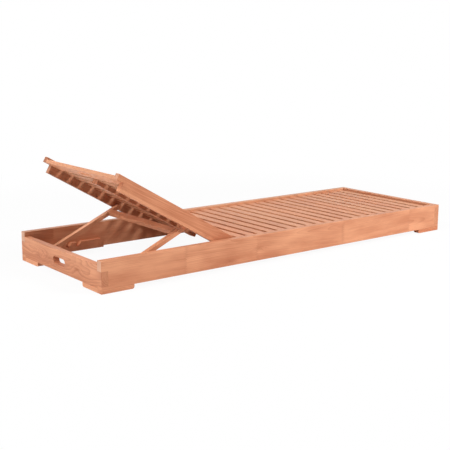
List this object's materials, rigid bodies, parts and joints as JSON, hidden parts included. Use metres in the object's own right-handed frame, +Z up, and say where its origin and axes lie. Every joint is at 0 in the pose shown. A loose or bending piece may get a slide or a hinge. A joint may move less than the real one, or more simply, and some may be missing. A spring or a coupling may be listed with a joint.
{
  "type": "sun lounger",
  "caption": "Low wooden sun lounger: a box frame on short corner feet, a slatted seat, and a slatted backrest that reclines on a hinged prop and notched racks.",
  "frame": {"origin": "middle of the footprint, on the floor", "axes": "+X towards the foot end, +Y to the lying person's left, +Z up"},
  "size_m": [2, 0.69, 0.4584],
  "materials": {
    "rail_wood": "oiled",
    "slat_wood": "oiled",
    "foot_wood": "oiled",
    "inner_wood": "oiled",
    "backrest_wood": "oiled",
    "steel": "brushed"
  },
  "bodies": {
    "frame": {"foot_end_foot_left": "foot_wood", "foot_end_foot_right": "foot_wood", "foot_end_head_left": "foot_wood", "foot_end_head_right": "foot_wood", "foot_rail": "rail_wood", "foot_side_foot_left": "foot_wood", "foot_side_foot_right": "foot_wood", "foot_side_head_left": "foot_wood", "foot_side_head_right": "foot_wood", "frame_screws": "steel", "head_rail": "rail_wood", "rack_left": "inner_wood", "rack_plugs": "inner_wood", "rack_right": "inner_wood", "recline_pivot_pins": "steel", "seat_centre_batten": "inner_wood", "seat_ledger_left": "inner_wood", "seat_ledger_right": "inner_wood", "seat_slat_01": "slat_wood", "seat_slat_02": "slat_wood", "seat_slat_03": "slat_wood", "seat_slat_04": "slat_wood", "seat_slat_05": "slat_wood", "seat_slat_06": "slat_wood", "seat_slat_07": "slat_wood", "seat_slat_08": "slat_wood", "seat_slat_09": "slat_wood", "seat_slat_10": "slat_wood", "seat_slat_11": "slat_wood", "seat_slat_12": "slat_wood", "seat_slat_13": "slat_wood", "seat_slat_14": "slat_wood", "seat_slat_15": "slat_wood", "seat_slat_16": "slat_wood", "seat_slat_17": "slat_wood", "seat_slat_18": "slat_wood", "seat_slat_19": "slat_wood", "seat_slat_20": "slat_wood", "seat_slat_21": "slat_wood", "side_rail_left": "rail_wood", "side_rail_right": "rail_wood"},
    "backrest": {"backrest_board_left": "backrest_wood", "backrest_board_right": "backrest_wood", "backrest_centre_batten": "inner_wood", "backrest_head_rail": "backrest_wood", "backrest_slat_01": "slat_wood", "backrest_slat_02": "slat_wood", "backrest_slat_03": "slat_wood", "backrest_slat_04": "slat_wood", "backrest_slat_05": "slat_wood", "backrest_slat_06": "slat_wood", "backrest_slat_07": "slat_wood", "backrest_slat_08": "slat_wood", "backrest_slat_09": "slat_wood", "backrest_slat_10": "slat_wood", "pivot_washers": "steel", "prop_pivot_pins": "steel"},
    "prop": {"prop_arm_left": "inner_wood", "prop_arm_right": "inner_wood", "prop_cross_bar": "inner_wood", "prop_foot_bar": "inner_wood"}
  },
  "joints": [
    {"name": "recline", "type": "hinge", "parent": "frame", "child": "backrest", "pos_m": [-0.334, 0, 0.09], "axis": [0, 1, 0], "range_deg": [-29.6, 30.6]},
    {"name": "prop_swing", "type": "hinge", "parent": "backrest", "child": "prop", "pos_m": [-0.54677, 0, 0.20268], "axis": [0, 1, 0], "range_deg": [-47.3, 45.8]}
  ],
  "couplings": [
    {"joint": "prop_swing", "follows": "recline", "ratio": -1.54}
  ]
}
